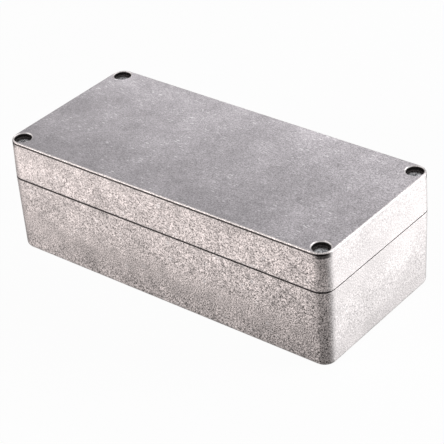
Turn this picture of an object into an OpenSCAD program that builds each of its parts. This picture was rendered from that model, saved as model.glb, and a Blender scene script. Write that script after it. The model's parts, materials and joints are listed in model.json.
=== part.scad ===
// Sealed die cast box with a deep lid. The base and the lid are two drafted castings that meet at a
// parting line. Four captive screws at the corners hold the lid. A seal runs inside the screws: a
// tongue on the base presses into a rubber gasket in the lid's groove. Four holes beside the lid
// screws, outside the seal, fix the box to a wall.
// Frame: X along the length, Y across the width, Z up, origin at the centre of the underside.

/* [Overall] */
// Outside length at the parting line
box_l = 175; // [160:1:260]
// Outside width at the parting line
box_w = 80; // [74:1:140]
// Height of the base, from the underside to the parting line
base_h = 38; // [30:0.5:70]
// Height of the lid above the parting line
lid_h = 19; // [18:0.5:30]

/* [Castings] */
// Wall thickness at the parting line
wall_t = 3.8; // [3.6:0.1:5]
// Thickness of the base's floor
floor_t = 3.5; // [2.5:0.1:6]
// Thickness of the lid's roof
roof_t = 3.5; // [2.5:0.1:5]
// Draft angle of the outside and inside faces
draft = 1; // [0.5:0.1:2]
// Radius of the upright outside corners at the parting line
corner_r = 6.5; // [5:0.1:7.2]
// Radius of the outside edge round the underside
foot_r = 2.5; // [1:0.1:4]
// Radius of the outside edge round the lid's top
brow_r = 0.9; // [0.4:0.1:2]
// Chamfer of both rims at the parting line
rim_chamfer = 0.3; // [0.1:0.05:0.5]
// Radius between the inside walls and the floor or the roof
inner_r = 2; // [1:0.1:3]
// Radius of the cavity's upright corners at the rim
cavity_r = 4; // [3.6:0.1:4.6]
// Radius of the corner blocks' upright edges at the rim
block_r = 5; // [3.4:0.1:5.6]

/* [Lid screws] */
// Distance of a lid screw's axis from the outside faces at the parting line
screw_inset = 5.6; // [5.5:0.1:7]
// Thread diameter
screw_d = 4; // [3:0.5:4]
// Thread pitch
screw_pitch = 0.7; // [0.7:0.05:0.8]
// Length of the thread, all of it in the base when the screw is tight
thread_l = 6.8; // [5:0.1:6.9]
// Turns from tight to free of the base
screw_turns = 10; // [10:1:11]
// How much thinner the neck above the thread is, on the radius
neck_relief = 0.4; // [0.2:0.05:0.5]
// Head diameter
head_d = 7; // [6:0.1:7.2]
// Head height
head_h = 2.6; // [2:0.1:3]
// Depth of the top of the head below the lid's top
head_depth = 2.4; // [2:0.1:4]
// Length of the arms of the cross recess, tip to tip
cross_l = 4.2; // [3:0.1:5]
// Width of the arms of the cross recess
cross_w = 1; // [0.6:0.1:1.2]
// Depth of the cross recess
cross_depth = 1.6; // [1:0.1:2]
// Clearance round a head in its well, on the radius
well_gap = 0.4; // [0.2:0.05:0.5]
// Chamfer at the mouth of each well
well_chamfer = 0.6; // [0.2:0.1:0.8]
// Clearance of a screw's thread in the lid's hole, on the radius
lid_hole_gap = 0.2; // [0.1:0.05:0.3]
// Running clearance of a thread in its tapped hole, on the radius
thread_gap = 0.05; // [0.02:0.01:0.1]
// Depth of the tapped hole past the screw's end
tap_spare = 3; // [1:0.5:6]

/* [Retaining washers] */
// Outside diameter
retainer_d = 6.8; // [6:0.1:7]
// Thickness
retainer_t = 0.8; // [0.5:0.1:1]
// Radial clearance on the screw's neck
retainer_gap = 0.05; // [0.02:0.01:0.1]
// Height of the washer above the base's rim with the screw tight
retainer_lift = 0.2; // [0.1:0.05:0.4]
// Clearance round the washer in its pocket in the lid, on the radius
pocket_gap = 0.4; // [0.2:0.05:0.5]
// Clearance left over the washer with the screw undone
pocket_spare = 0.2; // [0.1:0.05:0.5]

/* [Seal] */
// Width of the lid's inner lip, inside the gasket groove
lip_w = 1; // [0.8:0.1:1.4]
// Width of the gasket groove
groove_w = 1.6; // [1.2:0.1:1.8]
// Depth of the gasket groove
groove_depth = 3; // [2.4:0.1:4]
// Side clearance of the gasket in the groove
gasket_gap = 0.05; // [0.02:0.01:0.1]
// Width of the base's sealing tongue
tongue_w = 1; // [0.6:0.1:1.2]
// Height of the base's sealing tongue
tongue_h = 1.5; // [1:0.1:2]
// Metal left between the groove and the screw pockets
groove_land = 1.2; // [0.8:0.1:2]

/* [Wall fixing] */
// Distance of the fixing holes from the end faces at the parting line
fix_inset = 6; // [5.5:0.1:10]
// Distance of a fixing hole from its lid screw, across the width
fix_offset = 8.4; // [8:0.1:14]
// Diameter of the fixing holes
fix_d = 4.5; // [4:0.1:5]
// Diameter of the wells for the fixing screws' heads
fix_head_d = 7.6; // [7:0.1:7.8]
// Thickness of the floor under the fixing screws' heads
fix_floor_t = 4.5; // [3:0.1:8]
// How much narrower the lid's recesses over those wells are, on the radius
fix_recess_step = 0.2; // [0.1:0.05:0.6]

/* [Board bosses] */
// Distance of the board bosses from the end faces
boss_end_inset = 22.5; // [20:0.5:60]
// Distance of the board bosses from the side faces
boss_side_inset = 12; // [10:0.5:28]
// Diameter of a boss at its top
boss_d = 6.4; // [5:0.1:8]
// Height of the bosses above the floor
boss_h = 5; // [2:0.5:10]
// Diameter of the holes in the bosses
boss_hole_d = 2.5; // [2:0.1:3.3]
// Metal left under the holes in the bosses
boss_hole_floor = 2; // [1:0.1:2.4]

/* [Earthing] */
// Distance of the earthing boss from the left end face
earth_inset = 13.5; // [12.5:0.5:40]
// Diameter of the earthing boss at its top
earth_boss_d = 9; // [8:0.1:11]
// Height of the earthing boss above the floor
earth_boss_h = 7; // [6.5:0.5:12]
// Thread diameter of the earthing screw
earth_d = 4; // [3:0.5:5]
// Length of the earthing screw under its head
earth_l = 8; // [6:0.5:8.5]
// Head diameter of the earthing screw
earth_head_d = 7.6; // [6:0.1:9]
// Head height of the earthing screw
earth_head_h = 2.4; // [2:0.1:3]
// Slot width of the earthing screw
earth_slot_w = 1.2; // [0.8:0.1:1.6]
// Slot depth of the earthing screw
earth_slot_depth = 1.2; // [0.6:0.1:1.4]
// Outside diameter of the earthing washer
earth_washer_d = 8.6; // [8:0.1:10]
// Thickness of the earthing washer
earth_washer_t = 1; // [0.6:0.1:1.6]
// Depth of the earthing boss's tapped hole past the screw
earth_tap_spare = 1; // [0.5:0.1:1.5]

/* [Hidden] */

$fn = 64;
// overrun of a cut past the face that it opens
OVER = 1;
// corner radius of the cavity's core
CORE_R = 0.4;
ALUMINIUM = "#b3adaf";
STEEL = "#8e9094";
BRASS = "#b59a5a";
NYLON = "#d9d5c8";
RUBBER = "#3a3b3d";

box_h = base_h + lid_h;
// the cavity at the rim: a long bay between the corner blocks, crossed by a wide bay
cavity_l = box_l - 2 * wall_t;
cavity_w = box_w - 2 * wall_t;
screw_x = box_l / 2 - screw_inset;
screw_y = box_w / 2 - screw_inset;
fix_x = box_l / 2 - fix_inset;
fix_y = screw_y - fix_offset;
boss_x = box_l / 2 - boss_end_inset;
boss_y = box_w / 2 - boss_side_inset;
earth_x = box_l / 2 - earth_inset;
neck_d = screw_d - 2 * neck_relief;
well_d = head_d + 2 * well_gap;
pocket_d = retainer_d + 2 * pocket_gap;
// distance of the groove's outer side from the cavity
groove_out = lip_w + groove_w;
block_rim = groove_land + groove_out;
wide_bay_l = 2 * (min(screw_x - pocket_d / 2, fix_x - fix_head_d / 2) - block_rim);
long_bay_w = 2 * (fix_y - fix_head_d / 2 - block_rim);
// the blocks' edge radius, limited by the sides of the blocks
block_side = min(cavity_l - wide_bay_l, cavity_w - long_bay_w) / 2;
block_edge_r = min(block_r, block_side - cavity_r - CORE_R);
// width of the band that the wall's section covers, just short of the cavity's corner radius
band_w = cavity_r - CORE_R;
tongue_in = lip_w + (groove_w - tongue_w) / 2;
// heights of the lid screws' seats and ends
seat_z = box_h - head_depth - head_h;
tip_z = base_h - thread_l;
screw_l = seat_z - tip_z;
screw_rise = screw_turns * screw_pitch;
pocket_top = base_h + retainer_lift + retainer_t + screw_rise + pocket_spare;
tap_bottom = tip_z - tap_spare;
earth_top = floor_t + earth_boss_h;
// a slight turn of each tightened screw's cross recess
FRONT_LEFT_TURN = 20;
FRONT_RIGHT_TURN = 40;
BACK_LEFT_TURN = 65;
BACK_RIGHT_TURN = 5;

// ---- sections ----

// Half of an outside section, from the corner's axis outwards: a drafted wall of height h that ends
// in a rounded edge of radius r at the bottom and a chamfered rim at the top.
module outside_section(h, r) {
    foot_u = corner_r - h * tan(draft);
    centre_u = foot_u - r * (1 - sin(draft)) / cos(draft);
    polygon([
        [0, 0], [centre_u, 0], [centre_u, r],
        [centre_u + r * cos(draft), r - r * sin(draft)],
        [corner_r - rim_chamfer * tan(draft), h - rim_chamfer],
        [corner_r - rim_chamfer, h], [0, h],
    ]);
    edge_round(centre_u, r);
}

// The quarter of a circle that rounds a section's bottom outer edge.
module edge_round(u, r) {
    intersection() {
        translate([u, r]) circle(r);
        translate([u, 0]) square(r);
    }
}

// The section of a cavity's wall, h deep: u = 0 is the outline at the rim and the cavity lies at
// negative u. The wall meets the bottom in a radius, and the mouth overruns the rim.
module wall_section(h) {
    centre_u = -h * tan(draft) - inner_r * (1 - sin(draft)) / cos(draft);
    polygon([
        [-band_w, 0], [centre_u, 0], [centre_u, inner_r],
        [centre_u + inner_r * cos(draft), inner_r - inner_r * sin(draft)],
        [0, h], [0, h + OVER], [-band_w, h + OVER],
    ]);
    edge_round(centre_u, inner_r);
}

// ---- sweeps ----

// Carries a section round a rectangle l by w with corners of radius r, and fills it to height h.
module around_rectangle(l, w, r, h) {
    lx = l / 2 - r;
    ly = w / 2 - r;
    translate([-lx, -ly, 0]) cube([2 * lx, 2 * ly, h]);
    for (side = [0, 180]) rotate([0, 0, side]) {
        translate([-lx, ly, 0]) rotate([90, 0, 90]) linear_extrude(2 * lx) children();
        translate([lx, ly, 0]) rotate([90, 0, 0]) linear_extrude(2 * ly) children();
        translate([lx, ly, 0]) rotate_extrude(angle = 90) children();
        translate([-lx, ly, 0]) rotate([0, 0, 90]) rotate_extrude(angle = 90) children();
    }
}

// Straight stretches and corners of a wall, with the section's u pointing out of the cavity.
module wall_across(x, y0, y1) {
    translate([x, y1, 0]) rotate([90, 0, 0]) linear_extrude(y1 - y0) children();
}
module wall_along(y, x0, x1) {
    translate([x0, y, 0]) rotate([90, 0, 90]) linear_extrude(x1 - x0) children();
}
module inside_corner(x, y, r) {
    translate([x - r, y - r, 0]) rotate_extrude(angle = 90) translate([r, 0]) children();
}
module block_corner(x, y, r) {
    translate([x + r, y + r, 0]) rotate([0, 0, 180])
        rotate_extrude(angle = 90) translate([r, 0]) mirror([1, 0]) children();
}

// The cavity of a casting, h deep and open at the top, with the four corner blocks left standing:
// a core with upright sides, and the wall's section carried round it.
module cavity(h) {
    cx = cavity_l / 2;
    cy = cavity_w / 2;
    bx = wide_bay_l / 2;
    by = long_bay_w / 2;
    linear_extrude(h + OVER) seal_outline(-band_w);
    for (side = [0, 180]) rotate([0, 0, side]) {
        wall_across(cx, cavity_r - by, by - cavity_r) wall_section(h);
        wall_along(cy, cavity_r - bx, bx - cavity_r) wall_section(h);
    }
    for (mx = [0, 1], my = [0, 1]) mirror([mx, 0, 0]) mirror([0, my, 0]) {
        inside_corner(cx, by, cavity_r) wall_section(h);
        wall_along(by, bx + block_edge_r, cx - cavity_r) wall_section(h);
        block_corner(bx, by, block_edge_r) wall_section(h);
        wall_across(bx, by + block_edge_r, cy - cavity_r) wall_section(h);
        inside_corner(bx, cy, cavity_r) wall_section(h);
    }
}

// Copies a part to the four corners, mirrored so that each copy faces the same way from the centre.
module at_corners(x, y) {
    for (mx = [0, 1], my = [0, 1]) mirror([mx, 0, 0]) mirror([0, my, 0]) translate([x, y, 0]) children();
}

// ---- seal ----

module rounded_rectangle(l, w, r) {
    square([l - 2 * r, w], center = true);
    square([l, w - 2 * r], center = true);
    for (x = [-1, 1], y = [-1, 1]) translate([x * (l / 2 - r), y * (w / 2 - r)]) circle(r);
}

// The cavity's outline at the rim, moved outwards by g.
module seal_outline(g) {
    edge_r = block_edge_r - g;
    rounded_rectangle(cavity_l + 2 * g, long_bay_w + 2 * g, cavity_r + g);
    rounded_rectangle(wide_bay_l + 2 * g, cavity_w + 2 * g, cavity_r + g);
    for (mx = [0, 1], my = [0, 1]) mirror([mx, 0]) mirror([0, my])
        translate([wide_bay_l / 2 + g, long_bay_w / 2 + g]) difference() {
            translate([-OVER, -OVER]) square(edge_r + OVER);
            translate([edge_r, edge_r]) circle(edge_r);
        }
}

// A closed band between two distances from the cavity's outline.
module seal_band(g_in, g_out, h) {
    linear_extrude(h) difference() {
        seal_outline(g_out);
        seal_outline(g_in);
    }
}

// ---- castings ----

module base() {
    color(ALUMINIUM) difference() {
        union() {
            difference() {
                around_rectangle(box_l, box_w, corner_r, base_h) outside_section(base_h, foot_r);
                translate([0, 0, floor_t]) cavity(base_h - floor_t);
            }
            translate([0, 0, base_h - OVER]) seal_band(tongue_in, tongue_in + tongue_w, OVER + tongue_h);
            at_corners(boss_x, boss_y) translate([0, 0, floor_t - OVER]) boss(boss_d, boss_h + OVER);
            translate([-earth_x, 0, floor_t - OVER]) boss(earth_boss_d, earth_boss_h + OVER);
        }
        at_corners(screw_x, screw_y) translate([0, 0, tap_bottom])
            cylinder(h = base_h - tap_bottom + OVER, d = screw_d + 2 * thread_gap);
        at_corners(fix_x, fix_y) {
            translate([0, 0, -OVER]) cylinder(h = box_h, d = fix_d);
            translate([0, 0, fix_floor_t]) cylinder(h = base_h, d = fix_head_d);
        }
        at_corners(boss_x, boss_y) translate([0, 0, boss_hole_floor]) cylinder(h = base_h, d = boss_hole_d);
        translate([-earth_x, 0, earth_top + earth_washer_t - earth_l - earth_tap_spare])
            cylinder(h = earth_l + earth_tap_spare, d = earth_d + 2 * thread_gap);
    }
}

// A round boss with draft, d across at its top.
module boss(d, h) {
    cylinder(h = h, d1 = d + 2 * h * tan(draft), d2 = d);
}

module lid() {
    color(ALUMINIUM) difference() {
        translate([0, 0, box_h]) mirror([0, 0, 1])
            around_rectangle(box_l, box_w, corner_r, lid_h) outside_section(lid_h, brow_r);
        translate([0, 0, box_h - roof_t]) mirror([0, 0, 1]) cavity(lid_h - roof_t);
        translate([0, 0, base_h - OVER]) seal_band(lip_w, groove_out, OVER + groove_depth);
        at_corners(screw_x, screw_y) lid_screw_hole();
        at_corners(fix_x, fix_y) translate([0, 0, base_h - OVER])
            cylinder(h = OVER + lid_h - roof_t - inner_r, d = fix_head_d - 2 * fix_recess_step);
    }
}

// The stepped hole for a captive screw: well and chamfered mouth above, pocket for the washer below.
module lid_screw_hole() {
    translate([0, 0, base_h - OVER]) cylinder(h = pocket_top - base_h + OVER, d = pocket_d);
    translate([0, 0, base_h]) cylinder(h = box_h, d = screw_d + 2 * lid_hole_gap);
    translate([0, 0, seat_z]) cylinder(h = box_h, d = well_d);
    translate([0, 0, box_h - well_chamfer])
        cylinder(h = well_chamfer + OVER, d1 = well_d, d2 = well_d + 2 * (well_chamfer + OVER));
}

module gasket() {
    color(RUBBER) translate([0, 0, base_h + tongue_h])
        seal_band(lip_w + gasket_gap, groove_out - gasket_gap, groove_depth - tongue_h);
}

// ---- screws and washers ----

module lid_screw(x, y, turn) {
    edge = head_h / 8;
    tip = screw_d / 8;
    thread_top = base_h - tip_z;
    color(STEEL) translate([x, y, tip_z]) rotate([0, 0, turn]) difference() {
        rotate_extrude() polygon([
            [0, 0], [screw_d / 2 - tip, 0], [screw_d / 2, tip], [screw_d / 2, thread_top],
            [neck_d / 2, thread_top], [neck_d / 2, screw_l], [head_d / 2, screw_l],
            [head_d / 2, screw_l + head_h - edge], [head_d / 2 - edge, screw_l + head_h],
            [0, screw_l + head_h],
        ]);
        translate([0, 0, screw_l + head_h - cross_depth]) for (a = [0, 90]) rotate([0, 0, a])
            translate([-cross_l / 2, -cross_w / 2, 0]) cube([cross_l, cross_w, cross_depth + OVER]);
    }
}

module retainer(x, y) {
    color(NYLON) translate([x, y, base_h + retainer_lift]) difference() {
        cylinder(h = retainer_t, d = retainer_d);
        translate([0, 0, -OVER]) cylinder(h = retainer_t + 2 * OVER, d = neck_d + 2 * retainer_gap);
    }
}

module earth_screw() {
    edge = earth_head_h / 6;
    color(BRASS) translate([-earth_x, 0, earth_top + earth_washer_t - earth_l]) difference() {
        rotate_extrude() polygon([
            [0, 0], [earth_d / 2, 0], [earth_d / 2, earth_l], [earth_head_d / 2, earth_l],
            [earth_head_d / 2, earth_l + earth_head_h - edge],
            [earth_head_d / 2 - edge, earth_l + earth_head_h], [0, earth_l + earth_head_h],
        ]);
        translate([-earth_head_d, -earth_slot_w / 2, earth_l + earth_head_h - earth_slot_depth])
            cube([2 * earth_head_d, earth_slot_w, earth_slot_depth + OVER]);
    }
}

module earth_washer() {
    color(STEEL) translate([-earth_x, 0, earth_top]) difference() {
        cylinder(h = earth_washer_t, d = earth_washer_d);
        translate([0, 0, -OVER]) cylinder(h = earth_washer_t + 2 * OVER, d = earth_d + 2 * thread_gap);
    }
}

module screw_front_left() { lid_screw(-screw_x, -screw_y, FRONT_LEFT_TURN); }
module screw_front_right() { lid_screw(screw_x, -screw_y, FRONT_RIGHT_TURN); }
module screw_back_left() { lid_screw(-screw_x, screw_y, BACK_LEFT_TURN); }
module screw_back_right() { lid_screw(screw_x, screw_y, BACK_RIGHT_TURN); }
module retainer_front_left() { retainer(-screw_x, -screw_y); }
module retainer_front_right() { retainer(screw_x, -screw_y); }
module retainer_back_left() { retainer(-screw_x, screw_y); }
module retainer_back_right() { retainer(screw_x, screw_y); }

base();
lid();
gasket();
screw_front_left();
screw_front_right();
screw_back_left();
screw_back_right();
retainer_front_left();
retainer_front_right();
retainer_back_left();
retainer_back_right();
earth_screw();
earth_washer();
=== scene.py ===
"""Looks of a sealed die cast aluminium box with a deep lid, four captive screws and a gasket."""

import json
import math

import bpy
import numpy as np
from mathutils import Matrix, Vector

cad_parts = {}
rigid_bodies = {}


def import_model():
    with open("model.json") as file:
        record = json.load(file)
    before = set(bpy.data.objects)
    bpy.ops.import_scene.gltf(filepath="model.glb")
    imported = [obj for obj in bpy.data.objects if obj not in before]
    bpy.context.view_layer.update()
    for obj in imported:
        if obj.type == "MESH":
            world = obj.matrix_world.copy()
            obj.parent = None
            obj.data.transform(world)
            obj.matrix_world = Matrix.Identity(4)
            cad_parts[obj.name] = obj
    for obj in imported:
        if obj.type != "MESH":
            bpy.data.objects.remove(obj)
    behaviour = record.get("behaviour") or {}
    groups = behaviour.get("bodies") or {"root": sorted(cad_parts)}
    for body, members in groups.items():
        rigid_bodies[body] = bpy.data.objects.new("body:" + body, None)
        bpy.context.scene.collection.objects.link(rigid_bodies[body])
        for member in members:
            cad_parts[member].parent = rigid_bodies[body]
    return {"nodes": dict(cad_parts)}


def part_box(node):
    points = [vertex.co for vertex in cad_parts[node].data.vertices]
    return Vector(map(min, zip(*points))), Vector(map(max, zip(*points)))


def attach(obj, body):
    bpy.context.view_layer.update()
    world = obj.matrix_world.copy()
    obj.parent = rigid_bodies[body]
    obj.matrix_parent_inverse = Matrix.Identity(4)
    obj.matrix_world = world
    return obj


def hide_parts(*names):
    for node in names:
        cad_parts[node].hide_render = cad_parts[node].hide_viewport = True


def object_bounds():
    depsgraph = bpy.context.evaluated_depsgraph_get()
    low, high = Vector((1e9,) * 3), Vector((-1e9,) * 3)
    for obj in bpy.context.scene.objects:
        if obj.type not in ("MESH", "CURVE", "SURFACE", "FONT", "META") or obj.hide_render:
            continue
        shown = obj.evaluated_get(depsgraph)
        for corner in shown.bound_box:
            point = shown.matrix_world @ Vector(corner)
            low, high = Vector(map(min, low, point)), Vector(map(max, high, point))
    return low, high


for thing in list(bpy.data.objects):
    bpy.data.objects.remove(thing)

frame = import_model()
bpy.context.view_layer.update()
cad_low, cad_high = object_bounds()

MM = 0.001
# half the spacing of the lid screws' wells
well_low, well_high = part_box("screw_back_right")
WELL_X, WELL_Y = (well_low[0] + well_high[0]) / 2, (well_low[1] + well_high[1]) / 2

# ---------------------------------------------------------------- materials


def linear(code):
    """A colour written as an sRGB hex value, turned to linear red, green, blue and alpha."""
    levels = [int(code[i : i + 2], 16) / 255 for i in (1, 3, 5)]
    return [c / 12.92 if c <= 0.04045 else ((c + 0.055) / 1.055) ** 2.4 for c in levels] + [1.0]


def add(tree, kind, inputs=(), **settings):
    """Adds one node, sets its properties, sets or links its inputs, in order or by name or number,
    and gives its outputs."""
    node = tree.nodes.new("ShaderNode" + kind)
    for key, value in settings.items():
        setattr(node, key, value)
    for key, value in inputs.items() if isinstance(inputs, dict) else enumerate(inputs):
        if isinstance(value, bpy.types.NodeSocket):
            tree.links.new(value, node.inputs[key])
        else:
            node.inputs[key].default_value = value
    return node.outputs


def start(name):
    """A new material with an empty tree."""
    made = bpy.data.materials.new(name)
    made.use_nodes = True
    made.node_tree.nodes.clear()
    return made, made.node_tree


def per_mm(size):
    """Texture scale, in repeats a metre, of a pattern whose repeat is size millimetres."""
    return 1 / (size * MM)


# the castings' finish, in millimetres: the heights of the parting line, of the painted shade under the rim
# along the sides and at a corner, and from where the rim and the wells' mouths get a painted highlight
SEAM, UNDER_RIM, UNDER_CORNER, HIGHLIGHT_FROM = 38.0, 56.0, 55.3, 56.3
# radii of a screw's well and of the middle of its chamfered mouth
WELL_R, MOUTH_R = 4.10, 4.30
# repeats of the clouds, the mottling and the sandy grain: the real grains are about 0.3 mm, drawn
# coarser so that they show
CLOUDS, MOTTLE, GRAIN = 35, 6, 0.55
# the long sides', the ends' and the top's shade, and the depth of their clouds, mottling and grain
SIDES = ("#a69e9c", 0.12, 0.18, 4.2)
# the ends' shade is painted lighter than the sides', standing in for the strong light on them
ENDS = ("#b5b0af", 0.12, 0.06, 1.5)
TOP = ("#989497", 0.20, 0.18, 2.0)
# the shade of the rubbed metal in the nicks, also used for the painted highlight on the rim and the wells'
# mouths
RUBBED_AND_HIGHLIGHT = "#dedcdd"
# the top's nicks: which way they lie, in radians, and the length and width of the cells that hold them
NICKS = ((0.5, 4.0, 0.6), (-0.9, 2.4, 0.5), (1.7, 3.2, 0.5))


def die_cast_aluminium():
    """Die cast aluminium, as cast and tumbled: a dull grey skin with cloudy flow marks. The tumbling
    rubs the flat top and its rim smooth and leaves fine bright nicks; the long drafted sides keep a coarse
    sandy grain, a shade warmer, and the two ends a finer one, in a shade painted lighter for the light on
    them. Painted shade lies under the rim, round the upright corners, low down and in the screw wells, the
    seam holds dirt and painted shade, and the rim, the wells' mouths, the ends' seam and the back of the
    top are painted lighter as highlight and light."""
    made, t = start("die_cast_aluminium")
    coordinates = add(t, "TexCoord")
    place = coordinates["Object"]
    at = add(t, "SeparateXYZ", [place])
    facing = add(t, "VectorMath", [coordinates["Normal"]], operation="ABSOLUTE")[0]
    facing = add(t, "SeparateXYZ", [facing])

    # 1 on level faces such as the top, 1 on the two ends, 1 midway round an upright corner
    flat = add(t, "MapRange", [facing["Z"], 0.90, 0.99])[0]
    end = add(t, "MapRange", [facing["X"], 0.80, 0.97])[0]
    corner = add(t, "Math", [facing["X"], facing["Y"]], operation="MULTIPLY")[0]
    corner = add(t, "MapRange", [corner, 0.10, 0.40])[0]
    # distance from the nearest screw's axis
    off_well = add(t, "VectorMath", [place], operation="ABSOLUTE")[0]
    off_well = add(t, "VectorMath", [off_well, (WELL_X, WELL_Y, 0)], operation="SUBTRACT")[0]
    off_well = add(t, "VectorMath", [off_well, (1, 1, 0)], operation="MULTIPLY")[0]
    off_well = add(t, "VectorMath", [off_well], operation="LENGTH")["Value"]

    # flow marks and grain, which grows coarser along the box and downwards
    clouds = add(t, "TexNoise", {"Vector": place, "Scale": per_mm(CLOUDS), "Detail": 3.0})[0]
    mottle = add(t, "TexNoise", {"Vector": place, "Scale": per_mm(MOTTLE), "Detail": 4.0,
                                 "Roughness": 0.6})[0]
    grain = add(t, "TexNoise", {"Vector": place, "Scale": per_mm(GRAIN), "Detail": 1.5,
                                "Roughness": 0.6})[0]
    sway = add(t, "Math", [grain, 0.5], operation="SUBTRACT")[0]
    for way, low, high, least, most in ((at["X"], -80, 80, 0.8, 1.2), (at["Z"], 55, 5, 0.8, 1.15)):
        depth = add(t, "MapRange", [way, low * MM, high * MM, least, most])[0]
        sway = add(t, "Math", [sway, depth], operation="MULTIPLY")[0]

    # each skin's tone is the product of its grain, clouds and mottling
    skin = None
    for share, (shade, cloud, mottling, sand) in ((None, SIDES), (end, ENDS), (flat, TOP)):
        tone = add(t, "Math", [sway, sand, 1.0], operation="MULTIPLY_ADD")[0]
        for pattern, depth in ((clouds, cloud), (mottle, mottling)):
            swell = add(t, "MapRange", [pattern, 0.25, 0.75, 1 - depth, 1 + depth])[0]
            tone = add(t, "Math", [tone, swell], operation="MULTIPLY")[0]
        coat = add(t, "VectorMath", {0: linear(shade)[:3], "Scale": tone}, operation="SCALE")[0]
        skin = coat if skin is None else add(t, "Mix", {0: share, 6: skin, 7: coat}, data_type="RGBA")[2]

    # bright nicks in a few cells of each pattern, most of them on the top and where the clouds are light
    nicks_and_highlight = None
    for turn, length, width in NICKS:
        lie = add(t, "Mapping", {"Vector": place, "Rotation": (0, 0, turn),
                                 "Scale": (per_mm(length), per_mm(width), per_mm(length))})[0]
        cells = add(t, "TexVoronoi", {"Vector": lie, "Scale": 1.0})
        few = add(t, "MapRange", [add(t, "SeparateColor", [cells["Color"]])[0], 0.93, 0.97])[0]
        nick = add(t, "MapRange", [cells["Distance"], 0.34, 0.16])[0]
        nick = add(t, "Math", [nick, few], operation="MULTIPLY")[0]
        nicks_and_highlight = nick if nicks_and_highlight is None else add(t, "Math", [nicks_and_highlight, nick], operation="MAXIMUM")[0]
    for pattern, low, high, least in ((clouds, 0.35, 0.60, 0.3), (flat, 0.0, 1.0, 0.25)):
        share = add(t, "MapRange", [pattern, low, high, least, 1.0])[0]
        nicks_and_highlight = add(t, "Math", [nicks_and_highlight, share], operation="MULTIPLY")[0]
    # a painted highlight along the rim, where the metal bends over to the top, and round the mouths of the
    # wells
    rim = add(t, "MapRange", [facing["Z"], 0.985, 0.93])[0]
    bent = add(t, "MapRange", [facing["Z"], 0.55, 0.75])[0]
    rim = add(t, "Math", [rim, bent], operation="MULTIPLY")[0]
    mouth = add(t, "Math", [off_well, MOUTH_R * MM], operation="SUBTRACT")[0]
    mouth = add(t, "Math", [mouth], operation="ABSOLUTE")[0]
    mouth = add(t, "MapRange", [mouth, 0.25 * MM, 0.10 * MM])[0]
    for edge, rise, most in ((rim, 0.2, 0.35), (mouth, 0.3, 0.5)):
        share = add(t, "MapRange", [at["Z"], HIGHLIGHT_FROM * MM, (HIGHLIGHT_FROM + rise) * MM, 0.0, most])[0]
        edge = add(t, "Math", [edge, share], operation="MULTIPLY")[0]
        nicks_and_highlight = add(t, "Math", [nicks_and_highlight, edge], operation="MAXIMUM")[0]
    skin = add(t, "Mix", {0: nicks_and_highlight, 6: skin, 7: linear(RUBBED_AND_HIGHLIGHT)}, data_type="RGBA")[2]

    # bands about three levels, the seam's twice, each fading between two half widths
    bands = []
    for level, wide, narrow in ((UNDER_RIM, 0.55, 0.40), (UNDER_CORNER, 1.3, 0.9),
                                (SEAM, 0.60, 0.35), (SEAM, 0.50, 0.25)):
        off = add(t, "Math", [at["Z"], level * MM], operation="SUBTRACT")[0]
        off = add(t, "Math", [off], operation="ABSOLUTE")[0]
        bands.append(add(t, "MapRange", [off, wide * MM, narrow * MM])[0])
    under_rim, under_corner, seam, end_seam = bands
    # the ends get little painted shade, and the faces that meet inside the seam none
    sides = add(t, "MapRange", [end, 0.0, 1.0, 1.0, 0.06])[0]
    open_seam = add(t, "MapRange", [flat, 0.0, 1.0, 1.0, 0.0])[0]
    # painted shade low on the box, darkest at the bottom towards the right end and faint on the ends
    foot = [add(t, "MapRange", inputs)[0] for inputs in (
        [at["Z"], 32 * MM, 5 * MM], [at["X"], -80 * MM, 55 * MM, 0.4, 1.0], [end, 0.0, 1.0, 1.0, 0.35])]
    # each painted mark is a product of masks, and keeps a share of the light where it is thickest: painted
    # shade under the rim, round the upright corners and low down, dirt and painted shade in the seam; the
    # ends' seam is painted lighter instead
    painted_light_and_dirt = None
    for masks, kept in (((under_rim, sides), 0.12), ((seam, sides, open_seam), 0.08),
                        ((under_corner, corner), 0.2), ((end_seam, end), 1.7), ((corner,), 0.65),
                        (foot, 0.62)):
        dirt_and_painted_light_mask = masks[0]
        for mask in masks[1:]:
            dirt_and_painted_light_mask = add(t, "Math", [dirt_and_painted_light_mask, mask], operation="MULTIPLY")[0]
        share = add(t, "MapRange", [dirt_and_painted_light_mask, 0.0, 1.0, 1.0, kept])[0]
        painted_light_and_dirt = share if painted_light_and_dirt is None else add(t, "Math", [painted_light_and_dirt, share], operation="MULTIPLY")[0]
    # painted light: the top is a little lighter towards the back
    back = add(t, "Math", [flat, at["Y"]], operation="MULTIPLY")[0]
    back = add(t, "MapRange", [back, -36 * MM, 36 * MM, 0.84, 1.18])[0]
    painted_light_and_dirt = add(t, "Math", [painted_light_and_dirt, back], operation="MULTIPLY")[0]
    # painted shade in the wells, darkest above the screws' heads
    in_well = add(t, "MapRange", [off_well, WELL_R * MM, (WELL_R - 0.1) * MM])[0]
    in_lid = add(t, "MapRange", [at["Z"], 49 * MM, 50 * MM])[0]
    in_well = add(t, "Math", [in_well, in_lid], operation="MULTIPLY")[0]
    well_shade = add(t, "MapRange", [at["Z"], 54.4 * MM, 55.4 * MM, 0.5, 0.06])[0]
    painted_light_and_dirt = add(t, "Mix", {0: in_well, 2: painted_light_and_dirt, 3: well_shade}, data_type="FLOAT")[0]
    colour = add(t, "VectorMath", {0: skin, "Scale": painted_light_and_dirt}, operation="SCALE")[0]

    rough = add(t, "MapRange", [mottle, 0.3, 0.7, 0.50, 0.60])[0]
    rougher = add(t, "MapRange", [end, 0.0, 1.0, 0.0, 0.12])[0]
    rough = add(t, "Math", [rough, rougher], operation="ADD")[0]
    bump = add(t, "Bump", {"Strength": 1.0, "Distance": 0.08 * MM, "Height": grain})[0]
    shader = add(t, "BsdfPrincipled", {
        "Base Color": colour, "Metallic": 1.0, "Roughness": rough, "Normal": bump})[0]
    add(t, "OutputMaterial", [shader])
    return made


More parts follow.
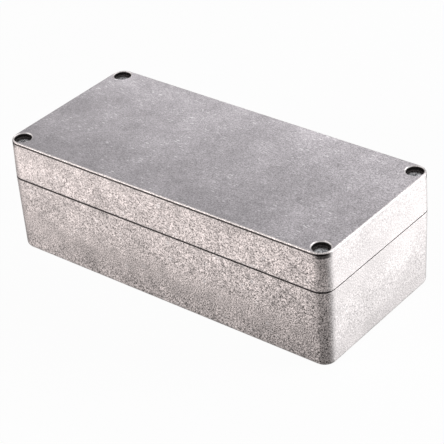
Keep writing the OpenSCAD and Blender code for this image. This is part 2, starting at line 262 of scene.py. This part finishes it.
def turned_metal(name, dark, light, roughness):
    """Turned metal: the lathe's fine rings, a groove every 0.3 mm drawn round the upright axis, over a
    clean bright surface with faint handling marks."""
    made, t = start(name)
    place = add(t, "TexCoord")["Object"]
    marks = add(t, "TexNoise", {"Vector": place, "Scale": per_mm(1.5), "Detail": 4.0, "Roughness": 0.65})[0]
    height = add(t, "SeparateXYZ", [place])["Z"]
    height = add(t, "Math", [height, per_mm(0.3)], operation="MULTIPLY")[0]
    rings = add(t, "TexNoise", {"W": height, "Scale": 1.0, "Detail": 2.0}, noise_dimensions="1D")[0]
    share = add(t, "MapRange", [marks, 0.35, 0.65])[0]
    colour = add(t, "Mix", {0: share, 6: linear(dark), 7: linear(light)}, data_type="RGBA")[2]
    rough = add(t, "MapRange", [marks, 0.3, 0.7, roughness - 0.06, roughness + 0.08])[0]
    bump = add(t, "Bump", {"Strength": 0.5, "Distance": 0.03 * MM, "Height": rings})[0]
    shader = add(t, "BsdfPrincipled", {
        "Base Color": colour, "Metallic": 1.0, "Roughness": rough, "Normal": bump})[0]
    add(t, "OutputMaterial", [shader])
    return made


def moulded_plastic(name, dark, light, roughness, grain_mm, depth_mm):
    """Moulded rubber or plastic: a matt skin with the mould's fine grain and slightly uneven colour."""
    made, t = start(name)
    place = add(t, "TexCoord")["Object"]
    blush = add(t, "TexNoise", {"Vector": place, "Scale": per_mm(9), "Detail": 3.0})[0]
    grain = add(t, "TexNoise", {"Vector": place, "Scale": per_mm(grain_mm), "Detail": 2.0})[0]
    share = add(t, "MapRange", [blush, 0.3, 0.7])[0]
    colour = add(t, "Mix", {0: share, 6: linear(dark), 7: linear(light)}, data_type="RGBA")[2]
    rough = add(t, "MapRange", [grain, 0.3, 0.7, roughness - 0.06, roughness + 0.06])[0]
    bump = add(t, "Bump", {"Strength": 0.6, "Distance": depth_mm * MM, "Height": grain})[0]
    shader = add(t, "BsdfPrincipled", {
        "Base Color": colour, "Metallic": 0.0, "Roughness": rough, "IOR": 1.5, "Normal": bump})[0]
    add(t, "OutputMaterial", [shader])
    return made


cast = die_cast_aluminium()
steel = turned_metal("turned_stainless_steel", "#b4b4b6", "#d2d2d4", 0.42)
brass = turned_metal("turned_brass", "#a88a4c", "#cdb06a", 0.28)
rubber = moulded_plastic("moulded_gasket_rubber", "#18181a", "#242427", 0.75, 0.4, 0.05)
nylon = moulded_plastic("moulded_natural_nylon", "#cfcabb", "#dedacd", 0.45, 0.3, 0.02)
FINISHES = {"base": cast, "lid": cast, "gasket": rubber, "screw": steel, "retainer": nylon,
            "earth_washer": steel, "earth_screw": brass}
for name, thing in frame["nodes"].items():
    kind = name if name in FINISHES else name.split("_")[0]
    thing.material_slots[0].material = FINISHES[kind]

# ---------------------------------------------------------------- screws

# sizes in millimetres of an M4 screw with a nearly flat cheese head, a cross recess and a thin neck
HEAD_R, HEAD_H, DOME, EDGE = 3.5, 2.6, 0.25, 0.3
NECK_R, THREAD_R, THREAD_L, PITCH, POINT = 1.6, 2.0, 6.8, 0.7, 0.5
ARM_L, ARM_W, RECESS, SLOPE = 4.2, 1.0, 1.5, 0.25
# the gap between the head and its seat, and the chamfer under the head's edge
CLEAR, CHAMFER = 0.02, 0.1
# points round the axis, and rings on the crown, on its rounded edge and on the thread
AROUND, ON_CROWN, ON_EDGE, ON_THREAD = 160, 51, 7, 120
# how far each tightened screw's cross is turned, in degrees
TURNS = {"front_left": 20, "front_right": 40, "back_left": 65, "back_right": 5}


def captive_screw(name, x, y, tip, top, turn):
    """A captive screw as one closed surface of height and angle: a profile carried round the upright
    axis. The head's top falls as the square of the radius, less a cross: where a point lies within
    half an arm's width of one arm's axis and half its length of the other, it sinks by the recess's
    depth, which fades outwards. The thread's radius rises and falls as a triangle wave of height over
    pitch less the angle in turns, fading in below the neck, and the point tapers at 45 degrees."""
    angle = np.linspace(0, 2 * np.pi, AROUND, endpoint=False)
    bend = np.linspace(0, np.pi / 2, ON_EDGE + 1)[1:]
    seat, neck_end = top - HEAD_H + CLEAR, tip + THREAD_L
    flat_r = HEAD_R - EDGE
    crown = np.linspace(0, flat_r, ON_CROWN + 1)[1:]
    winding = np.linspace(neck_end, tip, ON_THREAD)
    r = np.concatenate([crown, flat_r + EDGE * np.sin(bend), [HEAD_R, HEAD_R - CHAMFER, NECK_R],
                        np.full(ON_THREAD, NECK_R)])
    z = np.concatenate([top - DOME * (crown / flat_r) ** 2, top - DOME - EDGE * (1 - np.cos(bend)),
                        [seat + CHAMFER, seat, seat], winding])
    rings = len(r)
    ring = np.arange(rings)[:, None]
    r, z = np.repeat(r[:, None], AROUND, 1), np.repeat(z[:, None], AROUND, 1)
    # the cross recess, from each point's distances from its arms' axes
    u = np.abs(r * np.cos(angle - math.radians(turn)))
    v = np.abs(r * np.sin(angle - math.radians(turn)))
    in_width = [np.clip((ARM_W / 2 - off) / SLOPE + 0.5, 0, 1) for off in (u, v)]
    in_length = [np.clip((ARM_L / 2 - off) / SLOPE + 0.5, 0, 1) for off in (v, u)]
    cross = np.maximum(in_width[0] * in_length[0], in_width[1] * in_length[1])
    fade = 1 - 0.5 * np.clip(r / (ARM_L / 2), 0, 1) ** 2
    z = z - np.where(ring < ON_CROWN, RECESS * cross * fade, 0)
    # the thread
    phase = z / PITCH - angle / (2 * np.pi)
    wave = 1 - 2 * np.abs(phase - np.round(phase))
    swell = np.clip((neck_end - z) / PITCH, 0, 1)
    thread = NECK_R + (THREAD_R - NECK_R) * wave * swell
    r = np.where(ring >= rings - ON_THREAD, np.minimum(thread, THREAD_R - POINT + (z - tip)), r)
    points = np.stack([x + r * np.cos(angle), y + r * np.sin(angle), z], -1).reshape(-1, 3)
    points = np.vstack([points, [x, y, top - RECESS], [x, y, tip]]) * MM
    # quads between the rings, and a fan to each pole
    i = np.arange(rings - 1)[:, None] * AROUND
    j = np.arange(AROUND)
    k = (j + 1) % AROUND
    last = (rings - 1) * AROUND
    quads = np.stack([i + j, i + AROUND + j, i + AROUND + k, i + k], -1).reshape(-1, 4)
    head_fan = np.stack([np.full(AROUND, rings * AROUND), j, k], -1)
    tip_fan = np.stack([np.full(AROUND, rings * AROUND + 1), last + k, last + j], -1)
    mesh = bpy.data.meshes.new(name)
    mesh.from_pydata(points.tolist(), [], quads.tolist() + head_fan.tolist() + tip_fan.tolist())
    mesh.polygons.foreach_set("use_smooth", np.ones(len(mesh.polygons), bool))
    mesh.set_sharp_from_angle(angle=math.radians(40))
    piece = bpy.data.objects.new(name, mesh)
    bpy.context.collection.objects.link(piece)
    return piece


for corner, turn in TURNS.items():
    node = "screw_" + corner
    low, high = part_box(node)
    piece = captive_screw("captive_" + node, (low[0] + high[0]) / 2 / MM, (low[1] + high[1]) / 2 / MM,
                          low[2] / MM, high[2] / MM, turn)
    piece.data.materials.append(steel)
    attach(piece, node)
    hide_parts(node)

# ---------------------------------------------------------------- camera

# where the camera stands: degrees round the box and above it, and a slight roll
AZIMUTH, ELEVATION, ROLL = 40.240, 32.758, -4.253
DISTANCE = 804.62 * MM
# how far the view's centre passes from the middle of the underside, to the right and up
OFF_RIGHT, OFF_UP = 0.24 * MM, 17.90 * MM
SENSOR, FOCAL = 36.0, 143.764

# the directions from the box to the camera, and to the right and up in its view, before and after
# the roll
around, above, roll = (math.radians(v) for v in (AZIMUTH, ELEVATION, ROLL))
back = Vector((math.sin(around) * math.cos(above), -math.cos(around) * math.cos(above), math.sin(above)))
level = Vector((math.cos(around), math.sin(around), 0))
upward = back.cross(level)
right = level * math.cos(roll) + upward * math.sin(roll)
up = upward * math.cos(roll) - level * math.sin(roll)
foot = Vector(((cad_low.x + cad_high.x) / 2, (cad_low.y + cad_high.y) / 2, cad_low.z))
stand = foot + right * OFF_RIGHT + up * OFF_UP + back * DISTANCE
camera = bpy.data.objects.new("camera", bpy.data.cameras.new("camera"))
camera.data.sensor_width = SENSOR
camera.data.lens = FOCAL
camera.data.clip_start, camera.data.clip_end = 0.05, 20
camera.matrix_world = Matrix.Translation(stand) @ Matrix((right, up, back)).transposed().to_4x4()
bpy.context.collection.objects.link(camera)
bpy.context.scene.camera = camera

# ---------------------------------------------------------------- floor, lamps and world


def lamp(name, place, aim, size, power, colour):
    """A soft lamp, wide by high, at a place and aimed at a point; lengths in metres and power in watts."""
    made = bpy.data.objects.new(name, bpy.data.lights.new(name, "AREA"))
    made.data.shape = "RECTANGLE"
    made.data.size, made.data.size_y = size
    made.data.energy = power
    made.data.color = linear(colour)[:3]
    made.location = place
    made.rotation_mode = "QUATERNION"
    made.rotation_quaternion = (Vector(aim) - Vector(place)).to_track_quat("-Z", "Y")
    made.visible_camera = False
    bpy.context.collection.objects.link(made)


# the middle of the box, which all the lamps are aimed at
AIM = (0, 0, 0.03)
LAMPS = (
    ("right_lamp", (0.70, 0.45, 0.12), (0.4, 0.2), 10.8, "#fafdff"),
    ("back_lamp", (0.0, 0.45, 0.5), (1.2, 0.3), 1.5, "#ffffff"),
    ("front_lamp", (-0.45, -0.72, 0.15), (0.5, 0.2), 8.3, "#fffdfc"),
)
for name, place, size, power, colour in LAMPS:
    lamp(name, place, AIM, size, power, colour)

WHITE = (1, 1, 1, 1)
# the floor's width and its gap below the box, in metres, its paper's tone, and how much of it the
# rays that show the background see as plain white, with the rest left for the box's shadow
FLOOR, FLOOR_GAP, PAPER, PLAIN = 12.0, 0.0001, 0.9, 0.96
# strength of the room's own light
ROOM = 0.08


def background_rays(tree):
    """1 for the rays that show the background: from the camera, mirrored or passed through."""
    path = add(tree, "LightPath")
    shown = path["Is Camera Ray"]
    for kind in ("Is Glossy Ray", "Is Transmission Ray"):
        shown = add(tree, "Math", [shown, path[kind]], operation="MAXIMUM")[0]
    return shown


made, t = start("floor_paper")
share = add(t, "Math", [background_rays(t), PLAIN], operation="MULTIPLY")[0]
paper = add(t, "BsdfDiffuse", [(PAPER, PAPER, PAPER, 1)])[0]
white = add(t, "Emission", [WHITE, 1.0])[0]
add(t, "OutputMaterial", [add(t, "MixShader", [share, paper, white])[0]])

half = FLOOR / 2
floor_mesh = bpy.data.meshes.new("floor")
floor_mesh.from_pydata([(-half, -half, 0), (half, -half, 0), (half, half, 0), (-half, half, 0)], [],
                       [(0, 1, 2, 3)])
floor = bpy.data.objects.new("floor", floor_mesh)
floor.data.materials.append(made)
bpy.context.collection.objects.link(floor)
floor.location.z = cad_low.z - FLOOR_GAP

world = bpy.data.worlds.new("studio")
bpy.context.scene.world = world
world.use_nodes = True
world.node_tree.nodes.clear()
t = world.node_tree
room = add(t, "Background", [WHITE, ROOM])[0]
white = add(t, "Background", [WHITE, 1.0])[0]
add(t, "OutputWorld", [add(t, "MixShader", [background_rays(t), room, white])[0]])

bpy.context.scene.view_settings.view_transform = "Standard"
